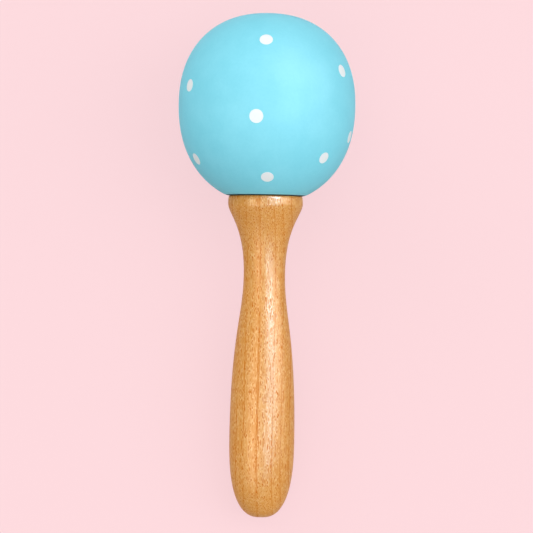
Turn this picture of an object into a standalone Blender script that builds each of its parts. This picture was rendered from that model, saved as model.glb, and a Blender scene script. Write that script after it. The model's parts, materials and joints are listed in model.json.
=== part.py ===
"""Baby maraca: a hollow turned head on a turned handle, with loose steel shot in the head.

The maraca lies on its side, as it does on a table: the head's belly and the grip touch z = 0, and +Y runs
from the butt to the head. Each turned piece is an outline of (radius, height) points about the maraca's own
axis, spun by a Screw modifier. Heights count from the seat, the plane where the head meets the handle's
collar, so the head is above zero and the handle below.
"""

import math

import bmesh
import bpy
from mathutils import Euler, Matrix, Vector

# Head, from the outside
HEAD_RADIUS = 0.0250
EQUATOR_HEIGHT = 0.0255
CROWN_RISE = 0.0261
CROWN_FULLNESS = 2.25
BASE_RISE = 0.0278
BASE_FULLNESS = 2.18
SEAT_RADIUS = 0.0105
SEAT_EDGE = 0.0004

# Head, from the inside
WALL = 0.0050
CHAMBER_FLOOR_HEIGHT = 0.0090
SOCKET_RADIUS = 0.0063
TONGUE_LENGTH = 0.0030
TONGUE_THICKNESS = 0.0022

# Handle, from the top down
TENON_RADIUS = 0.0060
TENON_HEIGHT = 0.0088
TENON_CHAMFER = 0.0008
COLLAR_FACE_RADIUS = 0.0100
COLLAR_RADIUS = 0.01062
COLLAR_HEIGHT = -0.0024
NECK_RADIUS = 0.00588
NECK_HEIGHT = -0.0223
GRIP_RADIUS = 0.00924
GRIP_HEIGHT = -0.0690
BUTT_HEIGHT = -0.0913
BUTT_FULLNESS = 2.58
BUTT_FACE_RADIUS = 0.0020

# How far each end of the handle's two long curves is drawn along the axis
COLLAR_PULL = 0.0030
NECK_PULL_UP = 0.0136
NECK_PULL_DOWN = 0.0121
GRIP_PULL = 0.0293

# Loose shot, close-packed in rings round a middle pellet
PELLET_RADIUS = 0.0025
PELLET_RINGS = 2

# The glue line and the air between neighbours
GAP = 0.0003

# Facets round each piece: two more than a multiple of four leaves a flat facet underneath
HEAD_FACETS = 50
HANDLE_FACETS = 34
PELLET_FACETS = (12, 8)

# Straight lengths along each stretch of outline
DOME_STEPS = 12
CURVE_STEPS = 11
EDGE_STEPS = 3
ROOM_STEPS = 60

LANE_STEP = 0.00005
STEEPEST_TILT = math.radians(30)
TILT_HALVINGS = 40
SHARP_ANGLE = math.radians(35)


def dome(radius, rise, fullness, steps, first=0.0, last=1.0):
    """(radius, rise) points of a superellipse quarter, from one share of its rise to another.

    A fullness of 2 is an ellipse, and more squares its shoulder.
    """
    start, end = (math.asin(share ** (fullness / 2)) for share in (first, last))
    points = []
    for step in range(steps + 1):
        angle = start + (end - start) * step / steps
        out = math.cos(angle) ** (2 / fullness) if step < steps or last < 1 else 0.0
        points.append((radius * out, rise * math.sin(angle) ** (2 / fullness)))
    return points


def long_curve(start, start_pull, end, end_pull):
    """Points of a cubic curve between two (radius, height) ends, drawn along the axis at both."""
    corners = (start, (start[0], start[1] - start_pull), (end[0], end[1] + end_pull), end)
    points = []
    for step in range(CURVE_STEPS + 1):
        t = step / CURVE_STEPS
        weights = ((1 - t) ** 3, 3 * t * (1 - t) ** 2, 3 * t**2 * (1 - t), t**3)
        points.append(tuple(sum(w * c[i] for w, c in zip(weights, corners)) for i in (0, 1)))
    return points


def crown(inset, rim=0.0, steps=DOME_STEPS):
    """The head's upper outline, inset by a wall, from the pole down to a rim over the equator."""
    rise = CROWN_RISE - inset
    points = dome(HEAD_RADIUS - inset, rise, CROWN_FULLNESS, steps, first=rim / rise)
    return [(radius, EQUATOR_HEIGHT + up) for radius, up in reversed(points)]


def base(inset, top, bottom, steps=DOME_STEPS):
    """The head's lower outline, inset by a wall, between two depths under the equator."""
    rise = BASE_RISE - inset
    points = dome(HEAD_RADIUS - inset, rise, BASE_FULLNESS, steps, top / rise, bottom / rise)
    return [(radius, EQUATOR_HEIGHT - down) for radius, down in points]


def upper_half_outline():
    """From the crown's pole down the outside, round the tongue and up the chamber wall to its pole."""
    tongue_radius = HEAD_RADIUS - WALL + TONGUE_THICKNESS
    outside = crown(0.0, rim=GAP / 2)
    tongue = [(tongue_radius, EQUATOR_HEIGHT + GAP / 2), (tongue_radius, EQUATOR_HEIGHT - TONGUE_LENGTH)]
    chamber = crown(WALL) + base(WALL, 0.0, TONGUE_LENGTH, EDGE_STEPS)[1:]
    return outside + tongue + chamber[::-1]


def lower_half_outline():
    """A closed loop: down the outside to the seat, up the socket, out over the floor and up to the rim."""
    recess_radius = HEAD_RADIUS - WALL + TONGUE_THICKNESS + GAP
    recess_depth = TONGUE_LENGTH + GAP
    outside = base(0.0, GAP / 2, EQUATOR_HEIGHT - SEAT_EDGE)
    socket = [(SEAT_RADIUS, 0.0), (SOCKET_RADIUS, 0.0), (SOCKET_RADIUS, CHAMBER_FLOOR_HEIGHT)]
    chamber = base(WALL, recess_depth, EQUATOR_HEIGHT - CHAMBER_FLOOR_HEIGHT)
    recess = [(recess_radius, EQUATOR_HEIGHT - recess_depth), (recess_radius, EQUATOR_HEIGHT - GAP / 2)]
    return outside + socket + chamber[::-1] + recess


def handle_outline():
    """From the tenon's end down over the collar, neck and grip to the butt."""
    tenon = [
        (0.0, TENON_HEIGHT),
        (TENON_RADIUS - TENON_CHAMFER, TENON_HEIGHT),
        (TENON_RADIUS, TENON_HEIGHT - TENON_CHAMFER),
        (TENON_RADIUS, -GAP),
    ]
    edge = dome(COLLAR_RADIUS - COLLAR_FACE_RADIUS, -GAP - COLLAR_HEIGHT, 2.0, EDGE_STEPS)
    collar = [(COLLAR_FACE_RADIUS + out, COLLAR_HEIGHT + up) for out, up in reversed(edge)]
    neck = (NECK_RADIUS, NECK_HEIGHT)
    grip = (GRIP_RADIUS, GRIP_HEIGHT)
    flare = long_curve(collar[-1], COLLAR_PULL, neck, NECK_PULL_UP)
    swell = long_curve(neck, NECK_PULL_DOWN, grip, GRIP_PULL)
    return tenon + collar + flare[1:] + swell[1:] + butt_outline()[1:] + [(0.0, BUTT_HEIGHT)]


def butt_outline():
    """The rounded end of the handle, from the grip down to the edge of its small flat face."""
    depth = GRIP_HEIGHT - BUTT_HEIGHT
    rise = depth / (1 - (BUTT_FACE_RADIUS / GRIP_RADIUS) ** BUTT_FULLNESS) ** (1 / BUTT_FULLNESS)
    points = dome(GRIP_RADIUS, rise, BUTT_FULLNESS, DOME_STEPS, last=depth / rise)
    return [(radius, GRIP_HEIGHT - down) for radius, down in points]


def lowest_point(outline, facets, tilt):
    """How low a spun outline reaches, with a flat facet underneath and its axis raised by a tilt."""
    flat = math.cos(math.pi / facets)
    return min(height * math.sin(tilt) - radius * flat * math.cos(tilt) for radius, height in outline)


def resting_pose(head, handle):
    """The matrix that lays the maraca down, so that the head and the handle both touch z = 0."""
    level, steep = 0.0, STEEPEST_TILT
    for _ in range(TILT_HALVINGS):
        tilt = (level + steep) / 2
        if lowest_point(head, HEAD_FACETS, tilt) < lowest_point(handle, HANDLE_FACETS, tilt):
            level = tilt
        else:
            steep = tilt
    ends = [h * math.cos(tilt) + side * r * math.sin(tilt) for r, h in head + handle for side in (-1, 1)]
    seat = Vector((0.0, -(min(ends) + max(ends)) / 2, -lowest_point(head, HEAD_FACETS, tilt)))
    return Matrix.Translation(seat) @ Euler((tilt - math.pi / 2, 0.0, 0.0)).to_matrix().to_4x4()


def linear(hex_colour):
    """A linear RGBA colour from an sRGB hex string."""
    channels = [int(hex_colour[i : i + 2], 16) / 255 for i in (1, 3, 5)]
    return [c / 12.92 if c <= 0.04045 else ((c + 0.055) / 1.055) ** 2.4 for c in channels] + [1.0]


def material(name, hex_colour, roughness, metallic=0.0):
    """A Principled material of one colour."""
    made = bpy.data.materials.new(name)
    made.use_nodes = True
    shader = made.node_tree.nodes["Principled BSDF"]
    shader.inputs["Base Color"].default_value = linear(hex_colour)
    shader.inputs["Roughness"].default_value = roughness
    shader.inputs["Metallic"].default_value = metallic
    return made


def add_piece(name, mesh, finish, collection):
    """A smooth-shaded object of this mesh, in the maraca's collection."""
    mesh.name = name
    mesh.shade_smooth()
    mesh.set_sharp_from_angle(angle=SHARP_ANGLE)
    mesh.materials.append(finish)
    piece = bpy.data.objects.new(name, mesh)
    collection.objects.link(piece)
    return piece


def turned(name, outline, facets, finish, collection):
    """A piece spun from its outline, which is a closed loop unless it starts on the axis."""
    edges = [(i, i + 1) for i in range(len(outline) - 1)]
    if outline[0][0] > 0:
        edges.append((len(outline) - 1, 0))
    profile = bpy.data.meshes.new(name + "_profile")
    profile.from_pydata([(radius, 0.0, height) for radius, height in outline], edges, [])
    blank = bpy.data.objects.new(name + "_blank", profile)
    collection.objects.link(blank)
    lathe = blank.modifiers.new("Lathe", "SCREW")
    lathe.steps = lathe.render_steps = facets
    lathe.use_merge_vertices = True
    lathe.merge_threshold = 1e-6
    graph = bpy.context.evaluated_depsgraph_get()
    mesh = bpy.data.meshes.new_from_object(blank.evaluated_get(graph))
    bpy.data.objects.remove(blank)
    return add_piece(name, mesh, finish, collection)


def chamber_outline():
    """The chamber's wall and floor as closely spaced (radius, height) points."""
    wall = crown(WALL, steps=ROOM_STEPS) + base(WALL, 0.0, EQUATOR_HEIGHT - CHAMBER_FLOOR_HEIGHT, ROOM_STEPS)
    floor_radius = wall[-1][0]
    return wall + [(floor_radius * k / ROOM_STEPS, CHAMBER_FLOOR_HEIGHT) for k in range(ROOM_STEPS)]


def pellet_spots():
    """Offsets across the table from the heap's middle to each pellet, ring by ring."""
    pitch = 2 * PELLET_RADIUS + GAP
    corners = [Vector((math.cos(k * math.pi / 3), math.sin(k * math.pi / 3))) for k in range(7)]
    spots = [Vector((0.0, 0.0))]
    for ring in range(1, PELLET_RINGS + 1):
        for start, end in zip(corners, corners[1:]):
            spots += [start.lerp(end, k / ring) * ring * pitch for k in range(ring)]
    return spots


def stop_height(spot, start, way, room, to_axis):
    """Where a pellet that goes up or down its upright lane from a start height meets the chamber."""
    height = start
    clear = True
    while clear:
        height += way * LANE_STEP
        local = to_axis @ Vector((spot.x, spot.y, height))
        out = math.hypot(local.x, local.y)
        clear = min(math.hypot(out - r, local.z - h) for r, h in room) > PELLET_RADIUS + GAP
    return height - way * LANE_STEP


def add_pellets(pose, finish, collection):
    """The shot, heaped on the chamber's low side, with the travel of each pellet in its upright lane."""
    middle = pose @ Vector((0.0, 0.0, EQUATOR_HEIGHT))
    to_axis = pose.inverted()
    room = chamber_outline()
    around, up = PELLET_FACETS
    for number, offset in enumerate(pellet_spots(), start=1):
        spot = middle.xy + offset
        bottom = stop_height(spot, middle.z, -1, room, to_axis)
        top = stop_height(spot, middle.z, 1, room, to_axis)
        ball = bmesh.new()
        bmesh.ops.create_uvsphere(ball, u_segments=around, v_segments=up, radius=PELLET_RADIUS)
        name = f"pellet_{number:02d}"
        mesh = bpy.data.meshes.new(name)
        ball.to_mesh(mesh)
        ball.free()
        add_piece(name, mesh, finish, collection).location = (spot.x, spot.y, bottom)
        print(f"{name} rests at {bottom * 1000:.2f} mm and rises {(top - bottom) * 1000:.2f} mm")


def main():
    for old in list(bpy.data.objects):
        bpy.data.objects.remove(old)
    collection = bpy.data.collections.new("baby_maraca")
    bpy.context.scene.collection.children.link(collection)

    paint = material("sky_blue_matte_paint", "#8CDDF0", 0.55)
    beech = material("lacquered_beech", "#DCA45F", 0.30)
    steel = material("steel_shot", "#B9BBBE", 0.25, metallic=1.0)

    upper, lower, handle = upper_half_outline(), lower_half_outline(), handle_outline()
    pose = resting_pose(upper + lower, handle)
    axis = bpy.data.objects.new("maraca_axis", None)
    axis.matrix_world = pose
    collection.objects.link(axis)
    for piece in (
        turned("head_upper_half", upper, HEAD_FACETS, paint, collection),
        turned("head_lower_half", lower, HEAD_FACETS, paint, collection),
        turned("handle", handle, HANDLE_FACETS, beech, collection),
    ):
        piece.parent = axis
    add_pellets(pose, steel, collection)


main()
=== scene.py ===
"""Looks of a baby maraca: a painted wooden head with dots, a lacquered beech handle and loose steel shot.

The turned pieces are outlines of (radius, height) points that are spun about the maraca's axis. Heights
count from the seat, where the head meets the handle's collar, so the handle lies below zero. Longitude zero
is the side that faces up from the table, and longitudes grow to the right of that view. Lengths are in
metres, and the patterns of the finishes are sized in millimetres.
"""

import json
import logging
import math
from dataclasses import dataclass
from enum import Enum
from typing import Any

import bmesh
import bpy
from mathutils import Matrix, Vector, noise
from mathutils.bvhtree import BVHTree


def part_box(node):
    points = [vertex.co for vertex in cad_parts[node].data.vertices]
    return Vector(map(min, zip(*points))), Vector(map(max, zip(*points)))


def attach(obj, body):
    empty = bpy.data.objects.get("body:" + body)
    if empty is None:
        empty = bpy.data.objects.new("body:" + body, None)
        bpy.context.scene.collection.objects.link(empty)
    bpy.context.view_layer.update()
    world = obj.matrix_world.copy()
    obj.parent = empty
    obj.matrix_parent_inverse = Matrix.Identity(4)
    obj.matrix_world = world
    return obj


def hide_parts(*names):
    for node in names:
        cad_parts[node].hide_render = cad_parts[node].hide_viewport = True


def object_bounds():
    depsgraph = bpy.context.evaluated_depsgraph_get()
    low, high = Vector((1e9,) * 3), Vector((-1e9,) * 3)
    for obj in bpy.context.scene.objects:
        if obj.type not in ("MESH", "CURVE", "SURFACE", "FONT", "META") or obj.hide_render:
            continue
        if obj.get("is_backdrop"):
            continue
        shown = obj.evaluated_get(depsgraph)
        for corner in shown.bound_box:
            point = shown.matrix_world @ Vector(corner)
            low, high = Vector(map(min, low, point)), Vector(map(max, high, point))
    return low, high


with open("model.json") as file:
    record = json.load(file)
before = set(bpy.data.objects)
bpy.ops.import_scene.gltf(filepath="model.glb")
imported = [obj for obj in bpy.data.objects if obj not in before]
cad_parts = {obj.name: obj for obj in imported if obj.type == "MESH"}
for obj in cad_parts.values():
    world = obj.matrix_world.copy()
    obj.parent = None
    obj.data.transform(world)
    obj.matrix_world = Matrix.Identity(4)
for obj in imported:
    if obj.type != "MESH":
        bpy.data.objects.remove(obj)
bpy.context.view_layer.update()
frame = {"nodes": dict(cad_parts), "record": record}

LOG = logging.getLogger("baby_maraca")
MM = 0.001
MERGE_DISTANCE = 1e-7
SHARP_EDGE = math.radians(40)

Point = tuple[float, float]
Outline = list[Point]
Shape = bmesh.types.BMesh
Finish = bpy.types.Material
Tree = bpy.types.NodeTree
Socket = bpy.types.NodeSocket


class Slot(Enum):
    """The record's material slots."""

    HEAD_PAINT = "head_paint"
    DOT_PAINT = "dot_paint"
    HANDLE_BEECH = "handle_beech"
    SHOT = "shot"


class LampColour(Enum):
    """The whites of the studio's lamps."""

    PLAIN = "#FFFFFF"
    COOL = "#BCE4FF"
    WARM = "#FFDDD2"


def linear(hex_colour: str) -> tuple[float, float, float, float]:
    """Turn an sRGB colour to a linear one.

    Args:
        hex_colour: the colour as #RRGGBB.

    Returns:
        Linear red, green, blue and an alpha of 1.
    """
    channels = (int(hex_colour[i : i + 2], 16) / 255 for i in (1, 3, 5))
    return (*(c / 12.92 if c <= 0.04045 else ((c + 0.055) / 1.055) ** 2.4 for c in channels), 1.0)


def add_node(
    tree: Tree, kind: str, inputs: dict[Any, Any] | None = None, **settings: Any
) -> bpy.types.Node:
    """Add a node with its settings, values and links.

    Args:
        tree: the node tree that gets the node.
        kind: Blender's name of the node type.
        inputs: a value or another node's output socket for each input, by name or number.
        settings: the node's own properties.

    Returns:
        The new node.
    """
    node = tree.nodes.new(kind)
    for name, value in settings.items():
        setattr(node, name, value)
    for key, value in (inputs or {}).items():
        if isinstance(value, Socket):
            tree.links.new(value, node.inputs[key])
        else:
            node.inputs[key].default_value = value
    return node


@dataclass(frozen=True)
class Lie:
    """How the maraca lies on the table.

    Its own axes are X to the right, Y down into the table and Z from the handle to the head, and its origin
    is the middle of the seat.
    """

    seat: Vector
    axis: Vector

    @classmethod
    def from_record(cls, record: dict[str, Any], butt_depth: float) -> "Lie":
        """Read the axis from the mount on the handle's butt.

        Args:
            record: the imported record.
            butt_depth: how far the butt is below the seat.

        Returns:
            The lie of the maraca.
        """
        mount = next(m for m in record["mounts"] if m["name"] == "butt_face")
        axis = -Vector(mount["axis"]).normalized()
        return cls(seat=Vector(mount["pos_m"]) + axis * butt_depth, axis=axis)

    @property
    def across(self) -> Vector:
        """The way to the right of the view from above."""
        return Vector((1.0, 0.0, 0.0))

    @property
    def matrix(self) -> Matrix:
        """The matrix from the maraca's own axes to the world."""
        turn = Matrix((self.across, self.axis.cross(self.across), self.axis)).transposed()
        return Matrix.Translation(self.seat) @ turn.to_4x4()

    def towards(self, longitude: float, lift: float) -> Vector:
        """Find a direction round the maraca.

        Args:
            longitude: degrees to the right of straight up from the table.
            lift: degrees from square to the axis towards the head.

        Returns:
            The direction in the world.
        """
        turn, rise = math.radians(longitude), math.radians(lift)
        local = Vector((math.sin(turn) * math.cos(rise), -math.cos(turn) * math.cos(rise), math.sin(rise)))
        return self.matrix.to_3x3() @ local


def dome(radius: float, rise: float, fullness: float, steps: int, last: float = 1.0) -> Outline:
    """Work out a superellipse quarter, from its widest ring towards its pole.

    Args:
        radius: half the width at the widest ring.
        rise: the height of the pole over that ring.
        fullness: 2 for an ellipse, and more for a squarer shoulder.
        steps: straight lengths along the outline.
        last: the share of the rise where the outline ends.

    Returns:
        The (radius, rise) points.
    """
    end = math.asin(last ** (fullness / 2))
    points = []
    for step in range(steps + 1):
        angle = end * step / steps
        out = math.cos(angle) ** (2 / fullness) if step < steps or last < 1 else 0.0
        points.append((radius * out, rise * math.sin(angle) ** (2 / fullness)))
    return points


def bezier(corners: Outline, steps: int) -> Outline:
    """Work out a smooth stretch of outline from the corners of its control polygon.

    Args:
        corners: the control points, three for a rounded edge or four for a long curve.
        steps: straight lengths along the curve.

    Returns:
        The (radius, height) points, both ends included.
    """
    degree = len(corners) - 1
    points = []
    for step in range(steps + 1):
        t = step / steps
        weights = [math.comb(degree, k) * t**k * (1 - t) ** (degree - k) for k in range(degree + 1)]
        points.append(tuple(sum(w * c[i] for w, c in zip(weights, corners)) for i in (0, 1)))
    return points


def spin_outline(outline: Outline, facets: int) -> Shape:
    """Turn an outline into a closed piece, as on a lathe.

    Args:
        outline: points that start and end on the axis, or a loop that stays clear of it.
        facets: facets round the axis.

    Returns:
        The spun mesh, in the maraca's own axes, with its faces pointing out.
    """
    shape = bmesh.new()
    points = [shape.verts.new((radius, 0.0, height)) for radius, height in outline]
    pairs = list(zip(points, points[1:]))
    if outline[0][0] > 0:
        pairs.append((points[-1], points[0]))
    edges = [shape.edges.new(pair) for pair in pairs]
    bmesh.ops.spin(
        shape, geom=points + edges, axis=(0, 0, 1), angle=math.tau, steps=facets, use_merge=True
    )
    bmesh.ops.remove_doubles(shape, verts=shape.verts, dist=MERGE_DISTANCE)
    bmesh.ops.recalc_face_normals(shape, faces=shape.faces)
    return shape


def add_piece(name: str, shape: Shape, finish: Finish, body: str) -> bpy.types.Object:
    """Make a finished piece that moves with a body.

    Args:
        name: the piece's name.
        shape: its mesh, in place in the world; it is used up.
        finish: its material.
        body: the body that it rides on.

    Returns:
        The piece.
    """
    mesh = bpy.data.meshes.new(name)
    shape.to_mesh(mesh)
    shape.free()
    mesh.shade_smooth()
    mesh.set_sharp_from_angle(angle=SHARP_EDGE)
    mesh.materials.append(finish)
    piece = bpy.data.objects.new(name, mesh)
    bpy.context.scene.collection.objects.link(piece)
    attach(piece, body)
    LOG.info("%s: %d faces on %s", name, len(mesh.polygons), body)
    return piece


def new_finish(name: str) -> tuple[Finish, Tree, bpy.types.Node]:
    """Start a material.

    Args:
        name: the finish's name.

    Returns:
        The material, its node tree and its Principled shader.
    """
    finish = bpy.data.materials.new(name)
    finish.use_nodes = True
    tree = finish.node_tree
    return finish, tree, tree.nodes["Principled BSDF"]


def millimetres(tree: Tree, lie: Lie) -> Socket:
    """Give a pattern the maraca's own axes, in millimetres from the seat.

    Args:
        tree: the material's node tree.
        lie: how the maraca lies.

    Returns:
        The socket with the place on the piece.
    """
    place = add_node(tree, "ShaderNodeTexCoord").outputs["Object"]
    mapped = add_node(
        tree,
        "ShaderNodeMapping",
        {"Vector": place, "Location": lie.seat, "Rotation": lie.matrix.to_euler(), "Scale": (MM, MM, MM)},
        vector_type="TEXTURE",
    )
    return mapped.outputs["Vector"]


def stretched(tree: Tree, place: Socket, width: float, length: float) -> Socket:
    """Measure a place in grains that lie along the axis.

    Args:
        tree: the material's node tree.
        place: the place in millimetres.
        width: how wide a grain is, in millimetres.
        length: how long it is along the axis, in millimetres.

    Returns:
        The socket with the place, where one grain is one unit.
    """
    scale = (1 / width, 1 / width, 1 / length)
    node = add_node(tree, "ShaderNodeVectorMath", {0: place, 1: scale}, operation="MULTIPLY")
    return node.outputs["Vector"]


@dataclass(frozen=True)
class SprayedPaint:
    """Matte, water-based toy paint that is sprayed or stamped on.

    The eye gets an even colour with a fine dull orange peel, a little cloudiness and a broad, soft
    highlight.
    """

    name: str
    colour: str
    cloud_colour: str
    peel_mm: float = 0.75
    peel_detail: float = 2.0
    peel_depth_mm: float = 0.010
    peel_share: float = 0.45
    cloud_mm: float = 7.0
    cloud_detail: float = 3.0
    cloud_from: float = 0.45
    cloud_to: float = 1.0
    roughness: float = 0.55
    ior: float = 1.21

    def make(self, lie: Lie) -> Finish:
        """Make the paint's material.

        Args:
            lie: how the maraca lies.

        Returns:
            The material.
        """
        finish, tree, shader = new_finish(self.name)
        place = millimetres(tree, lie)
        peel, cloud = (
            add_node(tree, "ShaderNodeTexNoise", {"Vector": place, "Scale": 1 / size, "Detail": detail})
            for size, detail in ((self.peel_mm, self.peel_detail), (self.cloud_mm, self.cloud_detail))
        )
        mottle = add_node(
            tree,
            "ShaderNodeMath",
            {0: peel.outputs["Fac"], 1: self.peel_share, 2: cloud.outputs["Fac"]},
            operation="MULTIPLY_ADD",
        )
        share = add_node(
            tree,
            "ShaderNodeMapRange",
            {"Value": mottle.outputs["Value"], "From Min": self.cloud_from, "From Max": self.cloud_to},
        )
        colour = add_node(
            tree,
            "ShaderNodeMixRGB",
            {
                "Fac": share.outputs["Result"],
                "Color1": linear(self.colour),
                "Color2": linear(self.cloud_colour),
            },
        )
        bump = add_node(
            tree,
            "ShaderNodeBump",
            {"Height": peel.outputs["Fac"], "Distance": self.peel_depth_mm * MM, "Strength": 1.0},
        )
        tree.links.new(colour.outputs["Color"], shader.inputs["Base Color"])
        tree.links.new(bump.outputs["Normal"], shader.inputs["Normal"])
        shader.inputs["Roughness"].default_value = self.roughness
        shader.inputs["IOR"].default_value = self.ior
        return finish


@dataclass(frozen=True)
class Grain:
    """A layer of marks in wood: their width and length in millimetres, and how far they move its tone."""

    width: float
    length: float
    weight: float


@dataclass(frozen=True)
class TurnedBeech:
    """Steamed beech from the lathe, bare or under clear satin lacquer.

    The eye gets a honey ground with many thin dark dashes along the axis and a few pale ones, which shorten
    to dots where the piece flares, and faint darker lines where the growth rings end. The lacquer is thinner
    over the dark marks and lies a little uneven, so its highlight is soft and grained.

    A tone of 0 is the dark colour, ground_tone the ground and 1 the pale colour. A pair of values says where
    a mark, a line or the lacquer starts and where it is full.
    """

    name: str
    ground: str = "#DB9744"
    pale: str = "#F0C480"
    dark: str = "#C86C00"
    ground_tone: float = 0.5
    plain_tone: float = 0.53

    # The grain's slow wander to the side
    sway_mm: float = 16.0
    sway_stretch: float = 3.0
    sway_detail: float = 1.0
    sway_by_mm: float = 0.9

    # Real rays and pores are too fine to show in the render, so these are as coarse as they need to be
    marks: tuple[Grain, ...] = (
        Grain(0.48, 7.0, 0.62),
        Grain(0.42, 2.8, 1.3),
        Grain(0.38, 1.3, 1.4),
    )
    marks_apart: tuple[float, float, float] = (31.0, 17.0, 53.0)
    fleck_core: Point = (0.42, 0.16)
    fleck_skirt: Point = (0.70, 0.40)
    fleck_halo: float = 0.22
    fleck_dark: float = -1.0
    fleck_pale: float = 0.28
    pore_mm: float = 0.36
    pore_long_mm: float = 1.1
    pore_weight: float = 3.0

    # Growth rings round a pith far to the left
    pith_mm: float = 60.0
    ring_mm: float = 3.125
    ring_start_mm: float = -0.1
    ring_swing: float = 0.323
    ring_cycle_years: float = 4.0
    ring_weight: float = -0.25
    ring_break_mm: float = 14.0
    ring_break_detail: float = 2.0
    ring_shown: Point = (0.31, 0.52)
    late_wood: Point = (0.87, 0.94)
    season_share: float = 0.25

    # Surface and lacquer
    grain_depth_mm: float = 0.002
    gloss_depth_mm: float = 0.020
    roughness: float = 0.52
    specular: float = 0.04
    lacquer: float = 0.70
    lacquer_in_pores: float = 0.06
    lacquer_tones: Point = (0.1, 0.9)
    lacquer_ior: float = 1.5
    lacquer_roughness: float = 0.28

    def make(self, lie: Lie) -> Finish:
        """Make the wood's material.

        Args:
            lie: how the maraca lies.

        Returns:
            The material.
        """
        finish, tree, shader = new_finish(self.name)
        grain = self.bent_grain(tree, millimetres(tree, lie))
        tone = self.plain_tone
        for number, mark in enumerate(self.marks):
            layer = self.fleck(tree, self.shifted(tree, grain, number), mark)
            tone = self.blended(tree, tone, layer, mark.weight)
        tone = self.blended(tree, tone, self.ring(tree, grain), self.ring_weight)
        tree.links.new(self.toned(tree, tone), shader.inputs["Base Color"])
        pore = stretched(tree, grain, self.pore_mm, self.pore_long_mm)
        pores = add_node(tree, "ShaderNodeTexNoise", {"Vector": pore, "Scale": 1.0, "Detail": 0.0})
        film = self.blended(tree, tone, pores.outputs["Fac"], self.pore_weight)
        for socket, height, depth in (
            ("Normal", tone, self.grain_depth_mm),
            ("Coat Normal", film, self.gloss_depth_mm),
        ):
            bump = add_node(
                tree, "ShaderNodeBump", {"Height": height, "Distance": depth * MM, "Strength": 1.0}
            )
            tree.links.new(bump.outputs["Normal"], shader.inputs[socket])
        shader.inputs["Roughness"].default_value = self.roughness
        shader.inputs["Specular IOR Level"].default_value = self.specular
        if self.lacquer > 0:
            thin, thick = self.lacquer_tones
            cover = add_node(
                tree,
                "ShaderNodeMapRange",
                {
                    "Value": tone,
                    "From Min": thin,
                    "From Max": thick,
                    "To Min": self.lacquer_in_pores,
                    "To Max": self.lacquer,
                },
            )
            tree.links.new(cover.outputs["Result"], shader.inputs["Coat Weight"])
        shader.inputs["Coat Roughness"].default_value = self.lacquer_roughness
        shader.inputs["Coat IOR"].default_value = self.lacquer_ior
        return finish

    def bent_grain(self, tree: Tree, place: Socket) -> Socket:
        """Let the grain wander a little to the side along its length.

        Args:
            tree: the material's node tree.
            place: the place in millimetres.

        Returns:
            The socket with the place in the bent grain.
        """
        slow = stretched(tree, place, self.sway_mm, self.sway_stretch * self.sway_mm)
        sway = add_node(
            tree, "ShaderNodeTexNoise", {"Vector": slow, "Scale": 1.0, "Detail": self.sway_detail}
        )
        reach = (self.sway_by_mm, self.sway_by_mm, 0.0)
        bent = add_node(
            tree,
            "ShaderNodeVectorMath",
            {0: sway.outputs["Color"], 1: reach, 2: place},
            operation="MULTIPLY_ADD",
        )
        return bent.outputs["Vector"]

    def shifted(self, tree: Tree, place: Socket, number: int) -> Socket:
        """Move a layer of marks clear of the others.

        Args:
            tree: the material's node tree.
            place: the place in millimetres.
            number: the layer's number, from 0.

        Returns:
            The socket with the moved place.
        """
        apart = tuple(number * step for step in self.marks_apart)
        node = add_node(tree, "ShaderNodeVectorMath", {0: place, 1: apart}, operation="ADD")
        return node.outputs["Vector"]

    def fleck(self, tree: Tree, place: Socket, mark: Grain) -> Socket:
        """Scatter thin lens-shaped marks along the grain, most of them dark, each with a faint halo.

        Args:
            tree: the material's node tree.
            place: the place in millimetres.
            mark: the size of the marks.

        Returns:
            The socket with the layer's strength, below 0 where a mark is dark.
        """
        cells = stretched(tree, place, mark.width, mark.length)
        cell = add_node(tree, "ShaderNodeTexVoronoi", {"Vector": cells, "Scale": 1.0})
        rims = []
        for outer, inner in (self.fleck_core, self.fleck_skirt):
            rim = add_node(
                tree,
                "ShaderNodeMapRange",
                {"Value": cell.outputs["Distance"], "From Min": outer, "From Max": inner},
                interpolation_type="SMOOTHSTEP",
            )
            rims.append(rim.outputs["Result"])
        lens = add_node(
            tree, "ShaderNodeMath", {0: rims[1], 1: -self.fleck_halo, 2: rims[0]}, operation="MULTIPLY_ADD"
        )
        chance = add_node(tree, "ShaderNodeSeparateColor", {0: cell.outputs["Color"]}).outputs["Red"]
        strength = add_node(
            tree,
            "ShaderNodeMapRange",
            {"Value": chance, "To Min": self.fleck_dark, "To Max": self.fleck_pale},
        )
        node = add_node(
            tree,
            "ShaderNodeMath",
            {0: lens.outputs["Value"], 1: strength.outputs["Result"]},
            operation="MULTIPLY",
        )
        return node.outputs["Value"]

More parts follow.
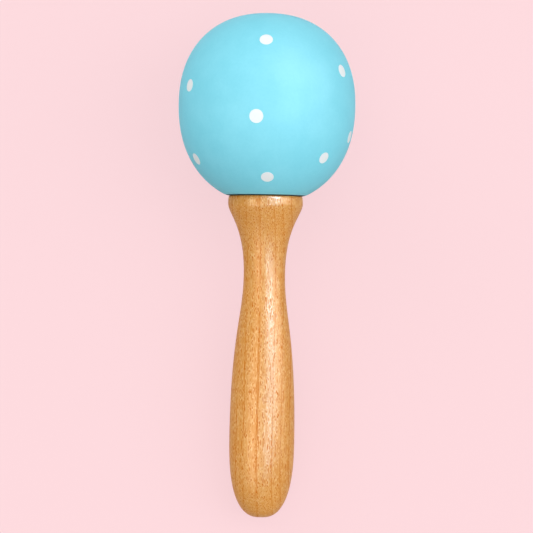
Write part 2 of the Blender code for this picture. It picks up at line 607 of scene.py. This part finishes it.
    def season(self, tree: Tree, place: Socket) -> Socket:
        """Tell how far through its year a place in the wood grew, with lean and good years that alternate.

        Args:
            tree: the material's node tree.
            place: the place in millimetres.

        Returns:
            The socket with the share of the year, from 0 to 1.
        """
        pith = (-self.pith_mm, 0.0, 0.0)
        away = add_node(tree, "ShaderNodeVectorMath", {0: place, 1: pith}, operation="SUBTRACT")
        level = add_node(
            tree,
            "ShaderNodeVectorMath",
            {0: away.outputs["Vector"], 1: (1.0, 1.0, 0.0)},
            operation="MULTIPLY",
        )
        out = add_node(tree, "ShaderNodeVectorMath", {0: level.outputs["Vector"]}, operation="LENGTH")
        first = -(self.pith_mm + self.ring_start_mm) / self.ring_mm
        years = add_node(
            tree,
            "ShaderNodeMath",
            {0: out.outputs["Value"], 1: 1 / self.ring_mm, 2: first},
            operation="MULTIPLY_ADD",
        )
        pace = math.tau / self.ring_cycle_years
        turn = add_node(tree, "ShaderNodeMath", {0: years.outputs["Value"], 1: pace}, operation="MULTIPLY")
        swing = add_node(tree, "ShaderNodeMath", {0: turn.outputs["Value"]}, operation="SINE")
        grown = add_node(
            tree,
            "ShaderNodeMath",
            {0: swing.outputs["Value"], 1: -self.ring_swing, 2: years.outputs["Value"]},
            operation="MULTIPLY_ADD",
        )
        year = add_node(tree, "ShaderNodeMath", {0: grown.outputs["Value"]}, operation="FRACT")
        return year.outputs["Value"]

    def ring(self, tree: Tree, place: Socket) -> Socket:
        """Draw the line where each growth ring ends, broken along its length, and a slow change up to it.

        Args:
            tree: the material's node tree.
            place: the place in millimetres.

        Returns:
            The socket with the layer's strength.
        """
        season = self.season(tree, place)
        late_start, late_full = self.late_wood
        late = add_node(
            tree,
            "ShaderNodeMapRange",
            {"Value": season, "From Min": late_start, "From Max": late_full},
            interpolation_type="SMOOTHSTEP",
        )
        breaks = stretched(tree, place, self.ring_mm, self.ring_break_mm)
        fade = add_node(
            tree, "ShaderNodeTexNoise", {"Vector": breaks, "Scale": 1.0, "Detail": self.ring_break_detail}
        )
        hidden, full = self.ring_shown
        shown = add_node(
            tree, "ShaderNodeMapRange", {"Value": fade.outputs["Fac"], "From Min": hidden, "From Max": full}
        )
        line = add_node(
            tree,
            "ShaderNodeMath",
            {0: late.outputs["Result"], 1: shown.outputs["Result"]},
            operation="MULTIPLY",
        )
        return self.blended(tree, line.outputs["Value"], season, self.season_share)

    def blended(self, tree: Tree, tone: float | Socket, layer: Socket, weight: float) -> Socket:
        """Add a layer to the wood's tone.

        Args:
            tree: the material's node tree.
            tone: the tone so far.
            layer: the layer's own strength, where 0 leaves the tone as it is.
            weight: how far the layer moves the tone.

        Returns:
            The socket with the new tone.
        """
        node = add_node(tree, "ShaderNodeMath", {0: layer, 1: weight, 2: tone}, operation="MULTIPLY_ADD")
        return node.outputs["Value"]

    def toned(self, tree: Tree, tone: Socket) -> Socket:
        """Turn the tone to a colour between the dark, ground and pale ones.

        Args:
            tree: the material's node tree.
            tone: the wood's tone.

        Returns:
            The socket with the colour.
        """
        colour = linear(self.dark)
        stops = ((0.0, self.ground_tone, self.ground), (self.ground_tone, 1.0, self.pale))
        for start, end, target in stops:
            share = add_node(
                tree, "ShaderNodeMapRange", {"Value": tone, "From Min": start, "From Max": end}
            )
            mix = add_node(
                tree,
                "ShaderNodeMixRGB",
                {"Fac": share.outputs["Result"], "Color1": colour, "Color2": linear(target)},
            )
            colour = mix.outputs["Color"]
        return colour


@dataclass(frozen=True)
class TumbledSteel:
    """Plain steel shot, tumbled bright: a grey metal with soft scuffs."""

    name: str = "tumbled_steel"
    colour: str = "#B9BBBE"
    scuff_mm: float = 0.6
    scuff_detail: float = 4.0
    scuff_from: float = 0.35
    scuff_to: float = 0.7
    smooth: float = 0.18
    scuffed: float = 0.42

    def make(self, lie: Lie) -> Finish:
        """Make the steel's material.

        Args:
            lie: how the maraca lies.

        Returns:
            The material.
        """
        finish, tree, shader = new_finish(self.name)
        place = millimetres(tree, lie)
        scuff = add_node(
            tree,
            "ShaderNodeTexNoise",
            {"Vector": place, "Scale": 1 / self.scuff_mm, "Detail": self.scuff_detail},
        )
        rough = add_node(
            tree,
            "ShaderNodeMapRange",
            {
                "Value": scuff.outputs["Fac"],
                "From Min": self.scuff_from,
                "From Max": self.scuff_to,
                "To Min": self.smooth,
                "To Max": self.scuffed,
            },
        )
        tree.links.new(rough.outputs["Result"], shader.inputs["Roughness"])
        shader.inputs["Base Color"].default_value = linear(self.colour)
        shader.inputs["Metallic"].default_value = 1.0
        return finish


@dataclass(frozen=True)
class Dot:
    """A painted dot.

    The height of its middle above the seat is in millimetres and its longitude in degrees. Its size is a
    share of a full stamp.
    """

    height: float
    longitude: float
    size: float = 1.0


@dataclass
class PaintedHead:
    """The head: two beech cups under one paint film, stamped dots and a bead of painted shade in the joint.
    """

    radius: float = 0.0250
    equator: float = 0.0255
    crown_rise: float = 0.0261
    crown_fullness: float = 2.25
    base_rise: float = 0.0278
    base_fullness: float = 2.18
    seat_radius: float = 0.0105
    seat_edge: float = 0.0004
    film_inner_rim: float = 0.0072
    film_clearance: float = 0.00002
    film_outside: float = 0.00009
    bead_climb: float = 0.00010
    bead_proud: float = 0.00002
    bead_hollow: float = 0.0006
    bead_foot: Point = (0.0100, -0.00020)
    bead_root: float = -0.00005
    dot_radius: float = 0.0019
    dot_proud: float = 0.000035
    dot_sunk: float = 0.00003
    dot_flat: float = 0.97
    facets: int = 180
    dome_steps: int = 56
    edge_steps: int = 6
    dot_facets: int = 48
    dot_rings: int = 6
    dot_edge_steps: int = 3
    dots: tuple[Dot, ...] = (
        Dot(42.8, -1.4, 0.97),
        Dot(21.25, -6.7, 1.02),
        Dot(4.68, 1.3, 0.93),
        Dot(30.2, -61.0, 0.92),
        Dot(9.7, -66.2, 0.93),
        Dot(10.35, 47.8, 0.89),
        Dot(34.95, 60.8, 0.95),
        Dot(16.7, 76.5, 0.93),
        Dot(45.5, 120.0),
        Dot(29.0, 118.0),
        Dot(9.0, 124.0),
        Dot(20.0, 164.0),
        Dot(39.0, -160.0),
        Dot(7.0, -152.0),
        Dot(24.0, -116.0),
        Dot(43.0, -108.0),
    )

    def outside(self, proud: float) -> Outline:
        """Work out the head's outside from its pole to the edge of the seat.

        Args:
            proud: how far the outline stands out from the turned wood.

        Returns:
            The (radius, height) points.
        """
        crown = dome(self.radius + proud, self.crown_rise + proud, self.crown_fullness, self.dome_steps)
        rise = self.base_rise + proud
        last = (self.equator - self.seat_edge) / rise
        base = dome(self.radius + proud, rise, self.base_fullness, self.dome_steps, last=last)
        lip = (base[-1][0], self.seat_edge)
        under = (self.seat_radius, -proud)
        corner = ((lip[0] + under[0]) / 2, 0.0)
        upper = [(out, self.equator + up) for out, up in reversed(crown)]
        lower = [(out, self.equator - down) for out, down in base]
        return upper + lower[1:] + bezier([lip, corner, under], self.edge_steps)[1:]

    def film(self) -> Outline:
        """Work out the paint film: down the outside, under the seat and back up the inside.

        Returns:
            The (radius, height) points.
        """
        rim = [(self.film_inner_rim, -self.film_outside), (self.film_inner_rim, -self.film_clearance)]
        return self.outside(self.film_outside) + rim + self.outside(self.film_clearance)[::-1]

    def bead(self) -> Outline:
        """Work out the bead in the joint, whose dark teal is painted shade: a brim under the head's edge and
        a hollow face to the collar.

        Returns:
            The (radius, height) points.
        """
        film = self.outside(self.film_outside + self.bead_proud)
        brim = [point for point in film if point[1] < self.bead_climb]
        corner = (self.seat_radius - self.bead_hollow, (brim[-1][1] + self.bead_foot[1]) / 2)
        face = bezier([brim[-1], corner, self.bead_foot], self.edge_steps)
        inside = [(self.film_inner_rim, self.bead_foot[1]), (self.film_inner_rim, self.bead_root)]
        return brim + face[1:] + inside + [(self.seat_radius, self.bead_root)]

    def build(self, lie: Lie, paint: Finish, dot_paint: Finish, shade_paint: Finish) -> None:
        """Build the paint film, the dots on it and the bead in the joint.

        Args:
            lie: how the maraca lies.
            paint: the film's finish.
            dot_paint: the dots' finish.
            shade_paint: the bead's finish, a near-black teal that is painted shade in the joint.
        """
        film = spin_outline(self.film(), self.facets)
        surface = BVHTree.FromBMesh(film)
        dots = bmesh.new()
        for dot in self.dots:
            self.stamp(dots, dot, surface)
        bead = spin_outline(self.bead(), self.facets)
        for name, shape, finish, slot in (
            ("head_paint_film", film, paint, Slot.HEAD_PAINT),
            ("head_dots", dots, dot_paint, Slot.DOT_PAINT),
            # The bead's near-black teal is painted shade: the shadow line in the gap under the head
            ("joint_bead_painted_shade", bead, shade_paint, Slot.HEAD_PAINT),
        ):
            bmesh.ops.transform(shape, matrix=lie.matrix, verts=shape.verts)
            add_piece(name, shape, finish, "maraca")

    def stamp(self, dots: Shape, dot: Dot, surface: BVHTree) -> None:
        """Lay one dot's disc of paint on the film.

        Args:
            dots: the mesh that takes the disc.
            dot: where it goes.
            surface: the film that it lies on.
        """
        turn = math.radians(dot.longitude)
        middle = Vector((0.0, 0.0, dot.height * MM))
        outward = Vector((math.sin(turn), -math.cos(turn), 0.0))
        spot, normal, _, _ = surface.ray_cast(middle + outward * 2 * self.radius, -outward)
        rings = [k / self.dot_rings for k in range(self.dot_rings + 1)]
        edge = bezier([(self.dot_flat, 1.0), (1.0, 1.0), (1.0, 0.0)], self.dot_edge_steps)
        radius = self.dot_radius * dot.size
        top = [(radius * share * self.dot_flat, self.dot_proud) for share in rings]
        side = [(radius * out, self.dot_proud * up) for out, up in edge[1:]]
        bottom = [(radius * share, -self.dot_sunk) for share in reversed(rings)]
        disc = spin_outline(top + side + bottom, self.dot_facets)
        along = normal.orthogonal().normalized()
        aside = normal.cross(along)
        for vert in disc.verts:
            start = spot + along * vert.co.x + aside * vert.co.y + normal * self.radius
            place, out, _, _ = surface.ray_cast(start, -normal)
            vert.co = place + out * vert.co.z
        bmesh.ops.recalc_face_normals(disc, faces=disc.faces)
        stamped = bpy.data.meshes.new("stamped_dot")
        disc.to_mesh(stamped)
        disc.free()
        dots.from_mesh(stamped)
        bpy.data.meshes.remove(stamped)

    def dress(self, bare_wood: Finish) -> None:
        """Give the turned cups under the paint their bare wood.

        Args:
            bare_wood: the cups' finish.
        """
        for node in ("head_upper_half", "head_lower_half"):
            cup = frame["nodes"][node]
            cup.data.materials.clear()
            cup.data.materials.append(bare_wood)
            LOG.info("%s: bare wood", node)


@dataclass
class TurnedHandle:
    """The handle: tenon, collar, neck, grip and butt in one turned piece."""

    tenon_radius: float = 0.0060
    tenon_height: float = 0.0088
    tenon_chamfer: float = 0.0008
    collar_top: float = -0.00021
    collar_face_radius: float = 0.0102
    collar_radius: float = 0.01062
    collar_height: float = -0.0024
    collar_fullness: float = 2.5
    neck_radius: float = 0.00588
    neck_height: float = -0.0223
    grip_radius: float = 0.00924
    grip_height: float = -0.0690
    butt_height: float = -0.0913
    butt_fullness: float = 2.58
    butt_face_radius: float = 0.0020
    collar_pull: float = 0.0030
    neck_pull_up: float = 0.0136
    neck_pull_down: float = 0.0121
    grip_pull: float = 0.0293
    facets: int = 160
    curve_steps: int = 60
    edge_steps: int = 10

    def outline(self) -> Outline:
        """Work out the outline from the tenon's end down to the middle of the butt.

        Returns:
            The (radius, height) points.
        """
        tenon = [
            (0.0, self.tenon_height),
            (self.tenon_radius - self.tenon_chamfer, self.tenon_height),
            (self.tenon_radius, self.tenon_height - self.tenon_chamfer),
            (self.tenon_radius, self.collar_top),
        ]
        width = self.collar_radius - self.collar_face_radius
        edge = dome(width, self.collar_top - self.collar_height, self.collar_fullness, self.edge_steps)
        collar = [(self.collar_face_radius + out, self.collar_height + up) for out, up in reversed(edge)]
        neck = (self.neck_radius, self.neck_height)
        grip = (self.grip_radius, self.grip_height)
        flare = self.long_curve(collar[-1], self.collar_pull, neck, self.neck_pull_up)
        swell = self.long_curve(neck, self.neck_pull_down, grip, self.grip_pull)
        return tenon + collar + flare[1:] + swell[1:] + self.butt()[1:] + [(0.0, self.butt_height)]

    def long_curve(self, start: Point, start_pull: float, end: Point, end_pull: float) -> Outline:
        """Join two points by a curve that runs along the axis at both."""
        corners = [start, (start[0], start[1] - start_pull), (end[0], end[1] + end_pull), end]
        return bezier(corners, self.curve_steps)

    def butt(self) -> Outline:
        """Work out the rounded end, from the grip to the edge of its small flat face.

        Returns:
            The (radius, height) points.
        """
        depth = self.grip_height - self.butt_height
        share = (self.butt_face_radius / self.grip_radius) ** self.butt_fullness
        rise = depth / (1 - share) ** (1 / self.butt_fullness)
        points = dome(self.grip_radius, rise, self.butt_fullness, self.curve_steps, last=depth / rise)
        return [(radius, self.grip_height - down) for radius, down in points]

    def build(self, lie: Lie, wood: Finish) -> None:
        """Build the handle in place of its solid.

        Args:
            lie: how the maraca lies.
            wood: the handle's finish.
        """
        shape = spin_outline(self.outline(), self.facets)
        bmesh.ops.transform(shape, matrix=lie.matrix, verts=shape.verts)
        piece = add_piece("turned_handle", shape, wood, "maraca")
        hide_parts("handle")


@dataclass
class RattleShot:
    """The loose steel shot in the head, each ball a little out of true."""

    subdivisions: int = 4
    out_of_true: float = 0.00006
    lump: float = 0.0016
    count: int = 19

    def build(self, steel: Finish) -> None:
        """Build each ball in place of its solid.

        Args:
            steel: the shot's finish.
        """
        for number in range(1, self.count + 1):
            node = f"pellet_{number:02d}"
            low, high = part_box(node)
            middle, radius = (low + high) / 2, (high - low).z / 2
            ball = bmesh.new()
            bmesh.ops.create_icosphere(ball, subdivisions=self.subdivisions, radius=radius)
            for vert in ball.verts:
                dent = 0.5 + 0.5 * noise.noise(vert.co / self.lump + Vector((number, 0.0, 0.0)))
                vert.co -= vert.co.normalized() * self.out_of_true * dent
            bmesh.ops.translate(ball, verts=ball.verts, vec=middle)
            piece = add_piece(f"steel_shot_{number:02d}", ball, steel, node)
            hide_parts(node)


@dataclass(frozen=True)
class Softbox:
    """A studio lamp with a soft front, aimed at the maraca.

    Its longitude and lift are the degrees of Lie.towards. A lamp that shades lights the surfaces, and one
    that is mirrored shows in their gloss.
    """

    name: str
    longitude: float
    lift: float
    distance: float
    width: float
    height: float
    watts: float
    shades: bool = True
    mirrored: bool = True
    colour: LampColour = LampColour.PLAIN


@dataclass
class Studio:
    """A pale pink table top, soft lamps and the camera that looks square at the maraca."""

    backdrop: str = "#FDDADE"
    bounce_colour: str = "#6B6866"
    table_size: float = 4.0
    shadow_share: float = 0.20
    ambient_butt_side: float = 0.42
    ambient_crown_side: float = 0.82
    ceiling: float = 0.2
    ceiling_from: float = 0.35
    ceiling_to: float = 0.75
    aim_height: float = -0.006
    camera_distance: float = 0.83
    camera_below_seat: float = 0.02019
    camera_aside: float = 0.00057
    camera_lean: float = math.radians(0.9)
    view_width: float = 0.15146
    sensor: float = 36.0
    lamps: tuple[Softbox, ...] = (
        Softbox("key_softbox", 40.0, 5.0, 1.20, 1.00, 1.00, 4.7, mirrored=False),
        Softbox("front_fill", 0.0, 5.0, 1.20, 1.00, 1.00, 0.7, mirrored=False),
        Softbox("handle_side_fill", -15.0, -40.0, 1.20, 1.00, 1.00, 3.2, mirrored=False),
        Softbox("left_fill", -75.0, 45.0, 1.20, 1.00, 1.00, 4.8, mirrored=False),
        Softbox("right_fill", 80.0, 10.0, 1.20, 1.00, 1.00, 1.5, mirrored=False),
        Softbox("collar_softbox", 32.0, 23.0, 0.70, 0.09, 0.12, 13.5, shades=False, colour=LampColour.COOL),
        Softbox("neck_strip", 37.0, 3.0, 0.70, 0.26, 0.24, 4.7, shades=False, colour=LampColour.COOL),
        Softbox("grip_strip", 20.0, -10.0, 0.70, 0.24, 0.24, 3.8, shades=False, colour=LampColour.COOL),
        Softbox("crown_panel", 27.0, 38.0, 0.90, 0.60, 0.60, 17.0, shades=False, colour=LampColour.WARM),
        Softbox("left_panel", -30.0, -8.0, 0.90, 0.60, 0.60, 10.0, shades=False),
        Softbox("right_panel", 65.0, 15.0, 0.90, 0.60, 0.60, 11.0, shades=False),
    )

    def build(self, lie: Lie) -> None:
        """Build the table top, the light and the camera.

        Args:
            lie: how the maraca lies.
        """
        self.add_world()
        self.add_table()
        for lamp in self.lamps:
            self.add_lamp(lie, lamp)
        self.add_camera(lie)

    def seen_directly(self, tree: Tree) -> Socket:
        """Tell what the camera, gloss and glass see from what only lights the maraca.

        Args:
            tree: the node tree of the table top or the world.

        Returns:
            A socket that is 1 for camera, glossy and transmission rays and 0 for the rest.
        """
        path = add_node(tree, "ShaderNodeLightPath")
        seen = path.outputs["Is Camera Ray"]
        for ray in ("Is Glossy Ray", "Is Transmission Ray"):
            both = add_node(tree, "ShaderNodeMath", {0: seen, 1: path.outputs[ray]}, operation="MAXIMUM")
            seen = both.outputs["Value"]
        return seen

    def add_world(self) -> None:
        """Surround the maraca with soft light that grows from the butt's side to the crown's.

        What the camera and gloss see is a backdrop of the table's colour, dimmer overhead.
        """
        world = bpy.data.worlds.new("studio")
        world.use_nodes = True
        bpy.context.scene.world = world
        tree = world.node_tree
        tree.nodes.clear()
        way = add_node(tree, "ShaderNodeTexCoord").outputs["Generated"]
        parts = add_node(tree, "ShaderNodeSeparateXYZ", {0: way}).outputs
        level = add_node(
            tree,
            "ShaderNodeMapRange",
            {
                "Value": parts["Y"],
                "From Min": -1.0,
                "To Min": self.ambient_butt_side,
                "To Max": self.ambient_crown_side,
            },
        )
        light = add_node(
            tree,
            "ShaderNodeBackground",
            {"Color": linear(LampColour.PLAIN.value), "Strength": level.outputs["Result"]},
        )
        glow = add_node(
            tree,
            "ShaderNodeMapRange",
            {
                "Value": parts["Z"],
                "From Min": self.ceiling_from,
                "From Max": self.ceiling_to,
                "To Min": 1.0,
                "To Max": self.ceiling,
            },
            interpolation_type="SMOOTHSTEP",
        )
        wall = add_node(
            tree,
            "ShaderNodeBackground",
            {"Color": linear(self.backdrop), "Strength": glow.outputs["Result"]},
        )
        mixed = add_node(
            tree,
            "ShaderNodeMixShader",
            {0: self.seen_directly(tree), 1: light.outputs["Background"], 2: wall.outputs["Background"]},
        )
        add_node(tree, "ShaderNodeOutputWorld", {"Surface": mixed.outputs["Shader"]})

    def table_finish(self) -> Finish:
        """Make the table top's material.

        The eye gets an even pale pink with a faint share of true shadow, and the maraca a grey bounce.

        Returns:
            The material.
        """
        finish = bpy.data.materials.new("pale_pink_table")
        finish.use_nodes = True
        tree = finish.node_tree
        tree.nodes.clear()
        glow = add_node(tree, "ShaderNodeEmission", {"Color": linear(self.backdrop), "Strength": 1.0})
        shaded = add_node(tree, "ShaderNodeBsdfDiffuse", {"Color": linear(self.backdrop)})
        camera = add_node(tree, "ShaderNodeLightPath").outputs["Is Camera Ray"]
        share = add_node(
            tree, "ShaderNodeMapRange", {"Value": camera, "To Min": 1.0, "To Max": self.shadow_share}
        )
        shown = add_node(
            tree,
            "ShaderNodeMixShader",
            {0: share.outputs["Result"], 1: glow.outputs["Emission"], 2: shaded.outputs["BSDF"]},
        )
        bounce = add_node(tree, "ShaderNodeBsdfDiffuse", {"Color": linear(self.bounce_colour)})
        mixed = add_node(
            tree,
            "ShaderNodeMixShader",
            {0: self.seen_directly(tree), 1: bounce.outputs["BSDF"], 2: shown.outputs["Shader"]},
        )
        add_node(tree, "ShaderNodeOutputMaterial", {"Surface": mixed.outputs["Shader"]})
        return finish

    def add_table(self) -> None:
        """Lay the table top just under the maraca."""
        lowest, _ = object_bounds()
        shape = bmesh.new()
        bmesh.ops.create_grid(shape, x_segments=1, y_segments=1, size=self.table_size / 2)
        bmesh.ops.translate(shape, verts=shape.verts, vec=(0.0, 0.0, lowest.z))
        mesh = bpy.data.meshes.new("table_top")
        shape.to_mesh(mesh)
        shape.free()
        mesh.materials.append(self.table_finish())
        table = bpy.data.objects.new("table_top", mesh)
        bpy.context.scene.collection.objects.link(table)
        table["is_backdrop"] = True

    def add_lamp(self, lie: Lie, lamp: Softbox) -> None:
        """Hang one lamp round the maraca.

        Args:
            lie: how the maraca lies.
            lamp: the lamp.
        """
        light = bpy.data.lights.new(lamp.name, "AREA")
        light.shape = "RECTANGLE"
        light.size, light.size_y = lamp.width, lamp.height
        light.energy = lamp.watts
        light.color = linear(lamp.colour.value)[:3]
        hung = bpy.data.objects.new(lamp.name, light)
        away = lie.towards(lamp.longitude, lamp.lift)
        spot = lie.seat + lie.axis * self.aim_height + away * lamp.distance
        hung.matrix_world = Matrix.Translation(spot) @ away.to_track_quat("Z", "Y").to_matrix().to_4x4()
        hung.visible_diffuse = lamp.shades
        hung.visible_glossy = lamp.mirrored
        bpy.context.scene.collection.objects.link(hung)

    def add_camera(self, lie: Lie) -> None:
        """Set the camera over the maraca, square to its axis and leaning a little to one side.

        Args:
            lie: how the maraca lies.
        """
        lens = bpy.data.cameras.new("photo_camera")
        lens.sensor_width = self.sensor
        lens.lens = self.sensor * self.camera_distance / self.view_width
        camera = bpy.data.objects.new("photo_camera", lens)
        out = lie.towards(0.0, 0.0)
        lean, upright = math.sin(self.camera_lean), math.cos(self.camera_lean)
        right = lie.axis * lean + lie.across * upright
        up = lie.axis * upright - lie.across * lean
        target = lie.seat - lie.axis * self.camera_below_seat + lie.across * self.camera_aside
        turn = Matrix((right, up, out)).transposed().to_4x4()
        camera.matrix_world = Matrix.Translation(target + out * self.camera_distance) @ turn
        bpy.context.scene.collection.objects.link(camera)
        bpy.context.scene.camera = camera


def main() -> None:
    """Build and dress the maraca, then its studio."""
    logging.basicConfig(level=logging.INFO, format="%(name)s: %(message)s")
    bpy.context.scene.view_settings.view_transform = "Standard"
    handle = TurnedHandle()
    lie = Lie.from_record(frame["record"], -handle.butt_height)
    sky_blue = SprayedPaint("sky_blue_matte_paint", "#82DDF0", "#8BE3F5")
    white = SprayedPaint("white_matte_paint", "#EEF5F7", "#F4F9FA", peel_mm=0.5)
    # The joint bead's near-black teal is painted shade: it stands for the shadow in the narrow gap between
    # head and collar
    joint_shade = SprayedPaint("joint_painted_shade_teal", "#0A3A43", "#0F464F")
    lacquered = TurnedBeech("lacquered_beech")
    bare = TurnedBeech("bare_beech", lacquer=0.0, roughness=0.7)
    head = PaintedHead()
    head.build(lie, sky_blue.make(lie), white.make(lie), joint_shade.make(lie))
    head.dress(bare.make(lie))
    handle.build(lie, lacquered.make(lie))
    RattleShot().build(TumbledSteel().make(lie))
    Studio().build(lie)


if __name__ == "__main__":
    main()
